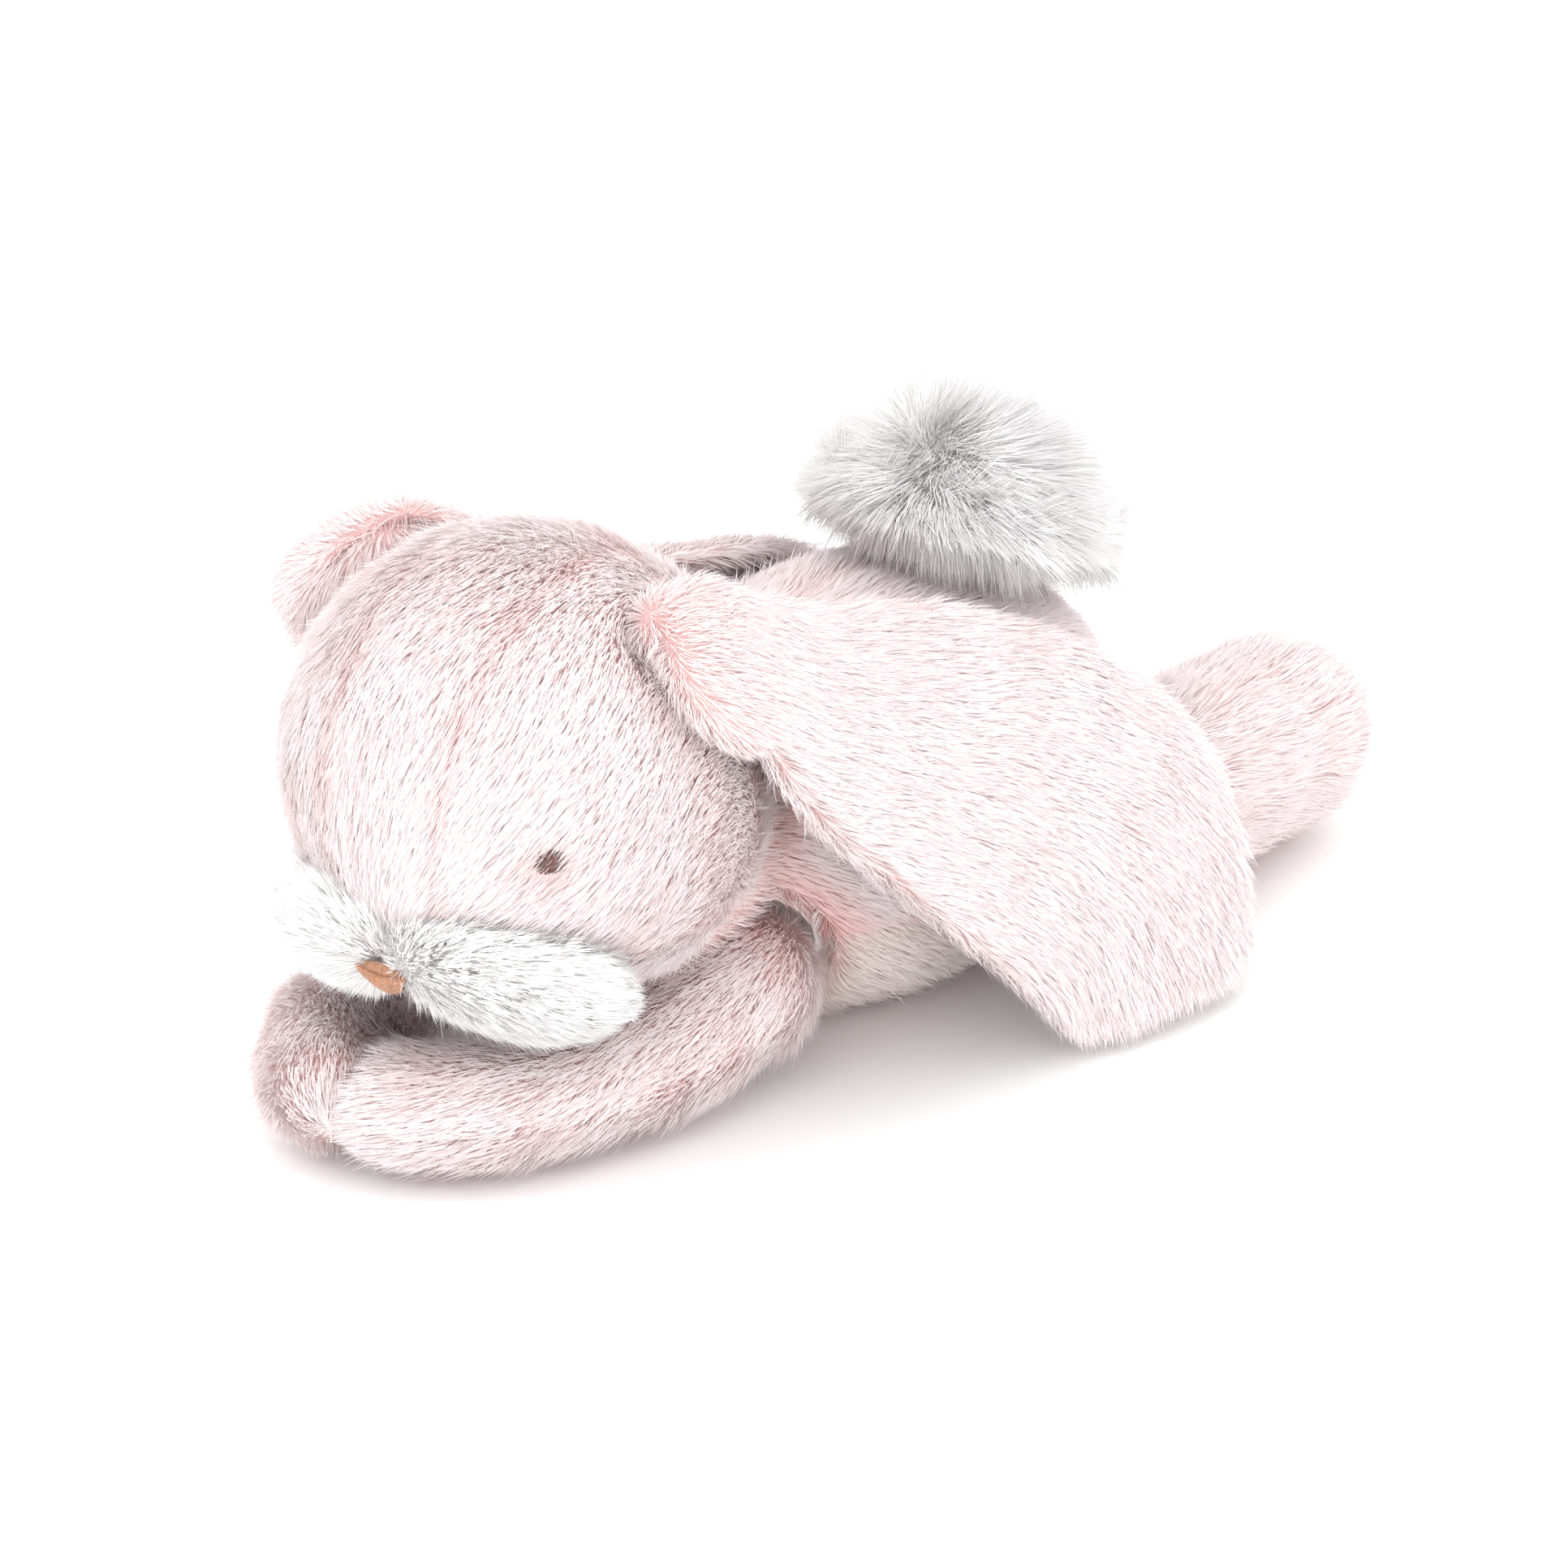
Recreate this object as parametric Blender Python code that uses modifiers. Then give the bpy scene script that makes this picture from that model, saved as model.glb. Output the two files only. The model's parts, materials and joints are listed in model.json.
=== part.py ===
"""A plush rabbit that lies on its belly with its chin on its folded arms.

Metres, +Z up. The face looks along -Y, the tail and feet point to +Y, and the rabbit's left is +X.
The toy is modelled around its own middle plane x = 0, and one empty then sets it down with
its origin at the middle of its footprint, on the surface it lies on.
"""

import math

import bmesh
import bpy
from mathutils import Euler, Matrix, Vector

for scene_object in list(bpy.data.objects):
    bpy.data.objects.remove(scene_object, do_unlink=True)

# Driving dimensions
GAP = 0.0003                       # between pieces that touch
PILE = 0.008                       # plush skin: backing and pile together

BODY_CENTRE = Vector((0.0, 0.208, 0.062))
BODY_SIZE = Vector((0.130, 0.204, 0.140))      # width, length, height before the belly is flattened
BELLY_SEAM_HEIGHT = 0.046
PELLET_BAG_SIZE = Vector((0.060, 0.100, 0.024))

HEAD_SIZE = Vector((0.142, 0.138, 0.139))
HEAD_REAR = 0.145                  # where the back of the head meets the neck
HEAD_LOW = 0.0425                  # height of the chin, on the arms
HEAD_CENTRE = Vector((0.005, HEAD_REAR - HEAD_SIZE.y / 2, HEAD_LOW + HEAD_SIZE.z / 2))
HEAD_TURN = math.radians(11)       # the head looks a little to its left
NOD_AXIS = Vector((0.0, 0.040, 0.030))         # from the head's centre; the axis runs along its X
FOREHEAD_WIDTH = 0.040
BACK_SEAM = 0.022                  # behind the head's centre
CHIN_SEAM = -0.034                 # below the head's centre

MUZZLE_SIZE = Vector((0.066, 0.030, 0.041))
MUZZLE_MEET = 0.8333               # share of half a puff's length at which the two puffs meet
MUZZLE_PLACE = Vector((0.0, -0.6449, -0.6403))      # this and the next places: shares of half the head
MUZZLE_TURN = math.radians(31)
MUZZLE_PITCH = math.radians(36)
MUZZLE_DROOP = math.radians(18)
NOSE_WIDTH = 0.018
NOSE_HEIGHT = 0.013
NOSE_THICKNESS = 0.005
NOSE_PLACE = Vector((0.0, -0.8309, -0.5565))
NOSE_RISE = 0.0069                 # from the head's skin to the middle of the nose, over the muzzle's puffs
NOSE_PITCH = math.radians(34)
EYE_SIZE = Vector((0.010, 0.004, 0.0075))
EYE_PLACE = Vector((0.6831, -0.7319, -0.0144))

EAR_ROOT = Vector((0.7042, 0.0290, 0.7266))
EAR_ROOT_RADIUS = 0.0095
EAR_FACE = 0.005                   # plush face of an ear
EAR_LINING = 0.0022                # smooth lining of an ear
EAR_ROOT_ROOM = 0.0042             # from the ball of an ear's root to the middle of the ear
EAR_SAG = 1.12                     # a row that has to move goes past by this, as the ear sags between
EAR_REST = 0.0060                  # least height of the middle of an ear above the body's skin
HEAD_REST = 0.0030                 # and above the head's
ROOT_ROWS = 2                      # rows of an ear measured from its root; the others from the floor's origin

ARM_RADIUS = 0.0205
SHOULDER_RADIUS = 0.025
LEG_RADIUS = 0.034
HIP_RADIUS = 0.029
LIMB_SKIN = 0.007
JOINT_PLAY = 0.0013                # room around the ball end of a limb, so that it can turn

TAIL_CENTRE = Vector((0.0, 0.252, 0.124))
TAIL_RADIUS = 0.049
TAIL_PILE = 0.017
TAIL_BASE_SLOPE = math.radians(6)

PINK = (0.93, 0.72, 0.72, 1.0)
PALE_PINK = (0.94, 0.78, 0.78, 1.0)
CREAM = (0.93, 0.88, 0.84, 1.0)
WHITE = (0.92, 0.91, 0.91, 1.0)
FIBRE = (0.85, 0.85, 0.83, 1.0)
LINEN = (0.70, 0.66, 0.58, 1.0)
NOSE_BROWN = (0.45, 0.20, 0.09, 1.0)
EYE_BROWN = (0.10, 0.035, 0.03, 1.0)

parts = bpy.data.collections.new("bunny")
cutters = bpy.data.collections.new("cutters")
bpy.context.scene.collection.children.link(parts)
bpy.context.scene.collection.children.link(cutters)

placer = bpy.data.objects.new("bunny_frame", None)
parts.objects.link(placer)
pivots = {}
materials = {}


def pivot(name, place):
    """An empty on a joint's axis, which the pieces of that limb hang from."""
    point = bpy.data.objects.new(name + "_pivot", None)
    parts.objects.link(point)
    point.parent = placer
    point.location = place
    pivots[name] = point
    return point


def cloth(colour_name, colour, roughness=0.9):
    """A plain cloth, thread or fibre material, made once for each colour."""
    if colour_name not in materials:
        material = bpy.data.materials.new(colour_name)
        material.use_nodes = True
        shader = material.node_tree.nodes["Principled BSDF"]
        shader.inputs["Base Color"].default_value = colour
        shader.inputs["Roughness"].default_value = roughness
        shader.inputs["Metallic"].default_value = 0.0
        materials[colour_name] = material
    return materials[colour_name]


def add(name, mesh, collection, material=None, hung_from=None):
    """Link a mesh, whose points are in the toy's own frame, under that frame or under a pivot."""
    item = bpy.data.objects.new(name, mesh)
    collection.objects.link(item)
    item.parent = hung_from or placer
    if hung_from:
        item.location = -hung_from.location
    if collection is cutters:
        item.hide_render = True
        item.display_type = "WIRE"
    if material:
        item.data.materials.append(material)
    for face in item.data.polygons:
        face.use_smooth = True
    return item


def ball_mesh(name, size, segments, rings, place):
    """An ellipsoid of the given full size, turned and moved by the matrix place."""
    form = bmesh.new()
    bmesh.ops.create_uvsphere(form, u_segments=segments, v_segments=rings, radius=0.5)
    bmesh.ops.transform(form, matrix=place @ Matrix.Diagonal((*size, 1.0)), verts=form.verts)
    mesh = bpy.data.meshes.new(name)
    form.to_mesh(mesh)
    form.free()
    return mesh


def box_cutter(name, low, high, place=Matrix.Identity(4)):
    """A box between two corners, turned and moved by the matrix place."""
    middle = (Vector(low) + Vector(high)) / 2
    size = Vector(high) - Vector(low)
    form = bmesh.new()
    bmesh.ops.create_cube(form, size=1.0)
    box = place @ Matrix.Translation(middle) @ Matrix.Diagonal((*size, 1.0))
    bmesh.ops.transform(form, matrix=box, verts=form.verts)
    mesh = bpy.data.meshes.new(name)
    form.to_mesh(mesh)
    form.free()
    return add(name, mesh, cutters)


def combine(item, other, operation):
    """Cut, keep or join with another object by an exact Boolean."""
    modifier = item.modifiers.new(operation.lower() + "_" + other.name, "BOOLEAN")
    modifier.operation = operation
    modifier.solver = "EXACT"
    modifier.object = other


def panel(name, outer_mesh, hollow, region, material, dents=(), hung_from=None):
    """One sewn panel: the part of a skin inside a region box, less the dents of its neighbours."""
    item = add(name, outer_mesh.copy(), parts, material, hung_from)
    combine(item, hollow, "DIFFERENCE")
    combine(item, region, "INTERSECT")
    for dent in dents:
        combine(item, dent, "DIFFERENCE")
    return item


def grown(size, margin):
    """A full size that is larger by a margin on every side."""
    return Vector([length + 2 * margin for length in size])


def mirrored(point, side):
    """A point for one side of the toy: side is 1 for its left and -1 for its right."""
    return Vector((point[0] * side, point[1], point[2]))


def on_head(place):
    """A place in the head's frame, from its shares of half the head's size."""
    return Vector([share * size / 2 for share, size in zip(place, HEAD_SIZE)])


# Head frame: the head's centre, turned to the rabbit's left
head_place = Matrix.Translation(HEAD_CENTRE) @ Matrix.Rotation(HEAD_TURN, 4, "Z")
body_place = Matrix.Translation(BODY_CENTRE)
ROUND = (20, 12)                   # segments and rings of the head, body, muzzle and tail
SMALL_ROUND = (16, 10)             # segments and rings of the pellet bag and the ear roots
EYE_ROUND = (14, 8)                # segments and rings of an eye
FAR = 0.5                          # reach of a cutter past the toy

head_pivot = pivot("head", head_place @ NOD_AXIS)
head_outer = ball_mesh("head_outer", HEAD_SIZE, *ROUND, head_place)
head_dent = add("head_dent", ball_mesh("head_dent", grown(HEAD_SIZE, GAP), *ROUND, head_place), cutters)


# ---------------------------------------------------------------- limbs
PATH_STEPS = 7                     # rings along a limb, less its round ends
TAPER_STEPS = 3                    # rings from the joint to where a limb is at its full radius
END_ANGLES = (12, 40, 66)          # rings of a round end, in degrees from its tip
WELD = 0.00002                     # points this near each other are one


def smooth_path(points, count):
    """Points along a Catmull-Rom curve through hand-set points."""
    ends = [points[0] * 2 - points[1], *points, points[-1] * 2 - points[-2]]
    path = []
    for step in range(count):
        position = step / (count - 1) * (len(points) - 1)
        index = min(int(position), len(points) - 2)
        t = position - index
        a, b, c, d = ends[index : index + 4]
        bend = (2 * a - 5 * b + 4 * c - d) * t * t + (3 * b - a - 3 * c + d) * t * t * t
        path.append((2 * b + (c - a) * t + bend) / 2)
    return path


def limb_mesh(name, points, start_radius, end_radius, inset):
    """A round-ended tube along a path, its skin moved inward by inset."""
    path = smooth_path([Vector(point) for point in points], PATH_STEPS)
    tapers = [min(1, step / TAPER_STEPS) for step in range(PATH_STEPS)]
    radii = [start_radius + (end_radius - start_radius) * taper - inset for taper in tapers]
    start_way = (path[0] - path[1]).normalized()
    end_way = (path[-1] - path[-2]).normalized()
    rings = []
    for angle in END_ANGLES:
        turn = math.radians(angle)
        rings.append((path[0] + start_way * radii[0] * math.cos(turn), radii[0] * math.sin(turn)))
    rings += list(zip(path, radii))
    for angle in reversed(END_ANGLES):
        turn = math.radians(angle)
        rings.append((path[-1] + end_way * radii[-1] * math.cos(turn), radii[-1] * math.sin(turn)))
    curve = bpy.data.curves.new(name, "CURVE")
    curve.dimensions = "3D"
    curve.bevel_depth = 1.0
    curve.bevel_resolution = 3
    curve.use_fill_caps = True
    curve.twist_mode = "Z_UP"
    spline = curve.splines.new("POLY")
    spline.points.add(len(rings) - 1)
    for point, (position, radius) in zip(spline.points, rings):
        point.co = (*position, 1.0)
        point.radius = radius
    tube = bpy.data.objects.new(name, curve)
    cutters.objects.link(tube)
    bpy.context.view_layer.update()
    mesh = bpy.data.meshes.new_from_object(tube.evaluated_get(bpy.context.evaluated_depsgraph_get()))
    bpy.data.objects.remove(tube)
    bpy.data.curves.remove(curve)
    form = bmesh.new()
    form.from_mesh(mesh)
    bmesh.ops.remove_doubles(form, verts=form.verts, dist=WELD)
    bmesh.ops.recalc_face_normals(form, faces=form.faces)
    form.to_mesh(mesh)
    form.free()
    return mesh


def limb(name, points, start_radius, end_radius, seam_height, dents):
    """An arm or a leg: an upper and a lower plush panel around its stuffing."""
    joint = pivot(name, Vector(points[0]))
    outer = limb_mesh(name + "_outer", points, start_radius, end_radius, 0)
    hollow = limb_mesh(name + "_hollow", points, start_radius, end_radius, LIMB_SKIN)
    hollow = add(name + "_hollow", hollow, cutters)
    above = box_cutter(name + "_above", (-FAR, -FAR, seam_height + GAP / 2), (FAR, FAR, FAR))
    below = box_cutter(name + "_below", (-FAR, -FAR, 0), (FAR, FAR, seam_height - GAP / 2))
    panel(name + "_upper", outer, hollow, above, cloth("pink_plush", PINK), dents, joint)
    panel(name + "_lower", outer, hollow, below, cloth("pink_plush", PINK), dents, joint)
    core = limb_mesh(name + "_stuffing", points, start_radius, end_radius, LIMB_SKIN + GAP)
    core = add(name + "_stuffing", core, parts, cloth("fibre", FIBRE), joint)
    for dent in dents:
        combine(core, dent, "DIFFERENCE")
    swollen = limb_mesh(name + "_dent", points, start_radius, end_radius, -GAP)
    socket_size = Vector((2 * (start_radius + JOINT_PLAY),) * 3)
    socket = ball_mesh(name + "_socket", socket_size, *ROUND, Matrix.Translation(points[0]))
    add(name + "_socket", socket, cutters)
    return add(name + "_dent", swollen, cutters)


# Arms lie folded under the chin: shoulder, elbow, wrist, paw
LEFT_ARM = (
    (0.036, 0.130, 0.034),
    (0.038, 0.100, 0.025),
    (0.033, 0.068, 0.021),
    (0.023, 0.042, 0.021),
    (0.009, 0.026, 0.021),
)
RIGHT_ARM = (
    (-0.040, 0.126, 0.034),
    (-0.052, 0.092, 0.025),
    (-0.051, 0.060, 0.021),
    (-0.038, 0.034, 0.021),
    (-0.016, 0.018, 0.021),
)
ARM_SEAM = 0.021
arm_right_dent = limb("arm_right", RIGHT_ARM, SHOULDER_RADIUS, ARM_RADIUS, ARM_SEAM, [head_dent])
left_arm_dents = [head_dent, arm_right_dent]
arm_left_dent = limb("arm_left", LEFT_ARM, SHOULDER_RADIUS, ARM_RADIUS, ARM_SEAM, left_arm_dents)

# Legs lie behind, the left one stretched out and the right one drawn up: hip, knee, foot
LEFT_LEG = (
    (0.040, 0.284, 0.034),
    (0.034, 0.315, 0.034),
    (0.028, 0.345, 0.034),
    (0.026, 0.373, 0.034),
)
RIGHT_LEG = (
    (-0.041, 0.272, 0.034),
    (-0.043, 0.293, 0.034),
    (-0.045, 0.312, 0.034),
    (-0.046, 0.329, 0.034),
)
LEG_SEAM = 0.034
leg_left_dent = limb("leg_left", LEFT_LEG, HIP_RADIUS, LEG_RADIUS, LEG_SEAM, [])
leg_right_dent = limb("leg_right", RIGHT_LEG, HIP_RADIUS, LEG_RADIUS, LEG_SEAM, [])


# ---------------------------------------------------------------- torso
body_outer = ball_mesh("body_outer", BODY_SIZE, *ROUND, body_place)
body_inner_size = grown(BODY_SIZE, -PILE)
body_hollow = add("body_hollow", ball_mesh("body_hollow", body_inner_size, *ROUND, body_place), cutters)
body_dents = [head_dent, arm_left_dent, arm_right_dent, leg_left_dent, leg_right_dent]
body_dents += [item for item in cutters.objects if item.name.endswith("_socket")]
back_low = BELLY_SEAM_HEIGHT + GAP / 2
belly_high = BELLY_SEAM_HEIGHT - GAP / 2
back_left_region = box_cutter("back_left_region", (GAP / 2, -FAR, back_low), (FAR, FAR, FAR))
back_right_region = box_cutter("back_right_region", (-FAR, -FAR, back_low), (-GAP / 2, FAR, FAR))
belly_region = box_cutter("belly_region", (-FAR, -FAR, 0), (FAR, FAR, belly_high))
pink = cloth("pink_plush", PINK)
panel("back_panel_left", body_outer, body_hollow, back_left_region, pink, body_dents)
panel("back_panel_right", body_outer, body_hollow, back_right_region, pink, body_dents)

# The belly panel lies flat on the ground, and the pellet bag rests on its inner side
belly_floor = PILE
belly = add("belly_panel", body_outer.copy(), parts, cloth("cream_plush", CREAM))
belly_hollow = add("belly_hollow", body_hollow.data.copy(), cutters)
above_belly = box_cutter("above_belly", (-FAR, -FAR, belly_floor), (FAR, FAR, FAR))
combine(belly_hollow, above_belly, "INTERSECT")
combine(belly, belly_hollow, "DIFFERENCE")
combine(belly, belly_region, "INTERSECT")
for dent in body_dents:
    combine(belly, dent, "DIFFERENCE")

bag_height = belly_floor + GAP + PELLET_BAG_SIZE.z / 2
bag_place = Matrix.Translation((BODY_CENTRE.x, BODY_CENTRE.y, bag_height))
bag_mesh = ball_mesh("pellet_bag", PELLET_BAG_SIZE, *SMALL_ROUND, bag_place)
add("pellet_bag", bag_mesh, parts, cloth("linen", LINEN))
bag_room = ball_mesh("bag_room", grown(PELLET_BAG_SIZE, GAP), *SMALL_ROUND, bag_place)
bag_room = add("bag_room", bag_room, cutters)

stuffing_size = grown(BODY_SIZE, -PILE - GAP)
stuffing = ball_mesh("body_stuffing", stuffing_size, *ROUND, body_place)
stuffing = add("body_stuffing", stuffing, parts, cloth("fibre", FIBRE))
above_bag = box_cutter("above_bag", (-FAR, -FAR, belly_floor + GAP), (FAR, FAR, FAR))
combine(stuffing, above_bag, "INTERSECT")
combine(stuffing, bag_room, "DIFFERENCE")
for dent in body_dents:
    combine(stuffing, dent, "DIFFERENCE")


# ---------------------------------------------------------------- head
head_inner_size = grown(HEAD_SIZE, -PILE)
head_hollow = add("head_hollow", ball_mesh("head_hollow", head_inner_size, *ROUND, head_place), cutters)
half = FOREHEAD_WIDTH / 2
seam = GAP / 2
back_low = (-FAR, BACK_SEAM + seam, -FAR)
back_region = box_cutter("head_back_region", back_low, (FAR, FAR, FAR), head_place)
chin_high = (FAR, BACK_SEAM - seam, CHIN_SEAM - seam)
chin_region = box_cutter("chin_region", (-FAR, -FAR, -FAR), chin_high, head_place)
front_low = (-half + seam, -FAR, CHIN_SEAM + seam)
front_high = (half - seam, BACK_SEAM - seam, FAR)
forehead_region = box_cutter("forehead_region", front_low, front_high, head_place)

ear_roots = {}
for side, side_name in ((1, "left"), (-1, "right")):
    ear_roots[side] = head_place @ mirrored(on_head(EAR_ROOT), side)
    root_place = Matrix.Translation(ear_roots[side])
    root_size = Vector((EAR_ROOT_RADIUS * 2,) * 3)
    root_mesh = ball_mesh("ear_root", root_size, *SMALL_ROUND, root_place)
    ear_pivot = pivot("ear_" + side_name, ear_roots[side])
    add(f"ear_{side_name}_root", root_mesh, parts, cloth("pink_plush", PINK), ear_pivot)
    root_dent = ball_mesh("root_dent", grown(root_size, GAP), *SMALL_ROUND, root_place)
    add(f"ear_{side_name}_root_dent", root_dent, cutters)
root_dents = [cutters.objects["ear_left_root_dent"], cutters.objects["ear_right_root_dent"]]

panel("head_back_panel", head_outer, head_hollow, back_region, pink, root_dents, head_pivot)
panel("chin_panel", head_outer, head_hollow, chin_region, pink, [], head_pivot)
panel("forehead_gusset", head_outer, head_hollow, forehead_region, pink, root_dents, head_pivot)
for side, side_name in ((1, "left"), (-1, "right")):
    near = half + seam if side > 0 else -FAR
    far = FAR if side > 0 else -half - seam
    low = (near, -FAR, CHIN_SEAM + seam)
    region = box_cutter(f"cheek_{side_name}_region", low, (far, BACK_SEAM - seam, FAR), head_place)
    panel(f"cheek_panel_{side_name}", head_outer, head_hollow, region, pink, root_dents, head_pivot)
head_core = ball_mesh("head_stuffing", grown(HEAD_SIZE, -PILE - GAP), *ROUND, head_place)
head_core = add("head_stuffing", head_core, parts, cloth("fibre", FIBRE), head_pivot)
for dent in root_dents:
    combine(head_core, dent, "DIFFERENCE")


# ---------------------------------------------------------------- face
def puff_place(side):
    """Where one half of the muzzle sits, turned outward and down."""
    turn = Euler((MUZZLE_PITCH, side * MUZZLE_DROOP, side * MUZZLE_TURN)).to_matrix().to_4x4()
    apart = Vector((MUZZLE_MEET * MUZZLE_SIZE.x / 2, 0, 0))
    return head_place @ Matrix.Translation(mirrored(on_head(MUZZLE_PLACE) + apart, side)) @ turn


puff_dents = []
for side, side_name in ((1, "left"), (-1, "right")):
    mesh = ball_mesh("muzzle", MUZZLE_SIZE, *ROUND, puff_place(side))
    puff = add("muzzle_" + side_name, mesh, parts, cloth("white_plush", WHITE), head_pivot)
    near = GAP / 2 if side > 0 else -FAR
    far = FAR if side > 0 else -GAP / 2
    region = box_cutter(f"muzzle_{side_name}_region", (near, -FAR, -FAR), (far, FAR, FAR), head_place)
    combine(puff, head_dent, "DIFFERENCE")
    combine(puff, region, "INTERSECT")
    dent = ball_mesh("muzzle_dent", grown(MUZZLE_SIZE, GAP), *ROUND, puff_place(side))
    puff_dents.append(add(f"muzzle_{side_name}_dent", dent, cutters))

nose_form = bmesh.new()
bmesh.ops.create_cone(nose_form, cap_ends=True, segments=3, radius1=1, radius2=0.8, depth=1)
stretch = Matrix.Diagonal((NOSE_WIDTH / math.sqrt(3), NOSE_HEIGHT / 1.5, NOSE_THICKNESS, 1.0))
face_out = Euler((math.pi / 2 + NOSE_PITCH, 0, 0)).to_matrix().to_4x4()
point_down = Matrix.Rotation(math.pi / 3, 4, "Z")
nose_turn = head_place @ Matrix.Translation(on_head(NOSE_PLACE) + NOSE_PLACE * NOSE_RISE) @ face_out
bmesh.ops.transform(nose_form, matrix=nose_turn @ stretch @ point_down, verts=nose_form.verts)
nose_mesh = bpy.data.meshes.new("nose")
nose_form.to_mesh(nose_mesh)
nose_form.free()
nose = add("nose", nose_mesh, parts, cloth("nose_thread", NOSE_BROWN, 0.55), head_pivot)
rounding = nose.modifiers.new("rounding", "BEVEL")
rounding.width = NOSE_THICKNESS * 0.3
rounding.segments = 2
rounding.limit_method = "ANGLE"
for dent in (head_dent, *puff_dents):
    combine(nose, dent, "DIFFERENCE")

for side, side_name in ((1, "left"), (-1, "right")):
    eye_centre = mirrored(on_head(EYE_PLACE), side)
    outward = math.atan2(eye_centre.x, -eye_centre.y)
    eye_place = head_place @ Matrix.Translation(eye_centre) @ Matrix.Rotation(outward, 4, "Z")
    mesh = ball_mesh("eye", EYE_SIZE, *EYE_ROUND, eye_place)
    eye = add("eye_" + side_name, mesh, parts, cloth("eye_thread", EYE_BROWN, 0.6), head_pivot)
    combine(eye, head_dent, "DIFFERENCE")


# ---------------------------------------------------------------- ears
# Rows run from the root to the tip; each row goes from the front edge over the middle to the rear edge.
LEFT_EAR = (
    ((0.0153, -0.0025, -0.0025), (0.0123, 0.0055, 0.0035), (0.0043, 0.0115, 0.0075)),
    ((0.0243, 0.0065, -0.0275), (0.0163, 0.0225, -0.0105), (-0.0087, 0.0365, -0.0055)),
    ((0.081, 0.110, 0.106), (0.070, 0.140, 0.131), (0.030, 0.162, 0.137)),
    ((0.083, 0.138, 0.080), (0.076, 0.176, 0.111), (0.036, 0.208, 0.130)),
    ((0.086, 0.170, 0.050), (0.084, 0.214, 0.088), (0.054, 0.256, 0.108)),
    ((0.089, 0.198, 0.022), (0.094, 0.246, 0.050), (0.078, 0.292, 0.072)),
    ((0.089, 0.213, 0.007), (0.100, 0.250, 0.007), (0.092, 0.286, 0.010)),
)
RIGHT_EAR = (
    ((-0.0145, -0.0054, -0.0035), (-0.0125, 0.0066, 0.0035), (-0.0045, 0.0156, 0.0065)),
    ((-0.0335, -0.0164, -0.0315), (-0.0325, 0.0116, -0.0135), (0.0025, 0.0406, -0.0045)),
    ((-0.080, 0.082, 0.104), (-0.072, 0.124, 0.129), (-0.032, 0.152, 0.134)),
    ((-0.083, 0.130, 0.080), (-0.076, 0.172, 0.110), (-0.032, 0.200, 0.130)),
    ((-0.086, 0.166, 0.050), (-0.084, 0.212, 0.088), (-0.050, 0.250, 0.109)),
    ((-0.089, 0.196, 0.022), (-0.094, 0.246, 0.050), (-0.078, 0.292, 0.072)),
    ((-0.089, 0.213, 0.007), (-0.100, 0.250, 0.007), (-0.092, 0.286, 0.010)),
)


def outside(point, centre, half_size):
    """The point, moved straight out past this ellipsoid's surface if it lies inside it."""
    away = point - centre
    share = math.sqrt(sum((away[axis] / half_size[axis]) ** 2 for axis in range(3)))
    return point if share >= 1 else centre + away * EAR_SAG / share


def laid_rows(rows, root):
    """The rows of an ear, kept clear of the ball of its root, of the head and of the body it lies on."""
    ball = Vector((EAR_ROOT_RADIUS + EAR_ROOT_ROOM,) * 3)
    head = grown(HEAD_SIZE, HEAD_REST) / 2
    body = grown(BODY_SIZE, EAR_REST) / 2
    laid = []
    for number, row in enumerate(rows):
        start = root if number < ROOT_ROWS else Vector()
        points = [start + Vector(point) for point in row]
        for centre, half_size in ((root, ball), (HEAD_CENTRE, head), (BODY_CENTRE, body)):
            points = [outside(point, centre, half_size) for point in points]
        laid.append(points)
    return laid


def ear_sheet(name, rows, thickness, lift, material, hung_from):
    """One face of an ear: a coarse cage, smoothed, moved outward by lift, then given its thickness."""
    cage = bmesh.new()
    grid = [[cage.verts.new(point) for point in row] for row in rows]
    for upper, lower in zip(grid, grid[1:]):
        for column in range(len(upper) - 1):
            corners = [upper[column], lower[column], lower[column + 1], upper[column + 1]]
            if rows[0][0][0] < 0:
                corners.reverse()
            cage.faces.new(corners)
    mesh = bpy.data.meshes.new(name)
    cage.to_mesh(mesh)
    cage.free()
    sheet = add(name, mesh, parts, material, hung_from)
    smoothing = sheet.modifiers.new("smoothing", "SUBSURF")
    smoothing.levels = 1
    smoothing.render_levels = 1
    smoothing.boundary_smooth = "PRESERVE_CORNERS"
    if lift:
        offset = sheet.modifiers.new("offset", "DISPLACE")
        offset.strength = lift
        offset.mid_level = 0.0
    wall = sheet.modifiers.new("wall", "SOLIDIFY")
    wall.thickness = thickness
    wall.offset = 1.0
    wall.use_even_offset = False
    return sheet


for side_name, rows in (("left", LEFT_EAR), ("right", RIGHT_EAR)):
    hinge = pivots["ear_" + side_name]
    laid = laid_rows(rows, hinge.location)
    lining = cloth("lining", PALE_PINK)
    lining_lift = -GAP / 2 - EAR_LINING
    ear_sheet(f"ear_{side_name}_outer", laid, EAR_FACE, GAP / 2, pink, hinge)
    ear_sheet(f"ear_{side_name}_lining", laid, EAR_LINING, lining_lift, lining, hinge)


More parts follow.
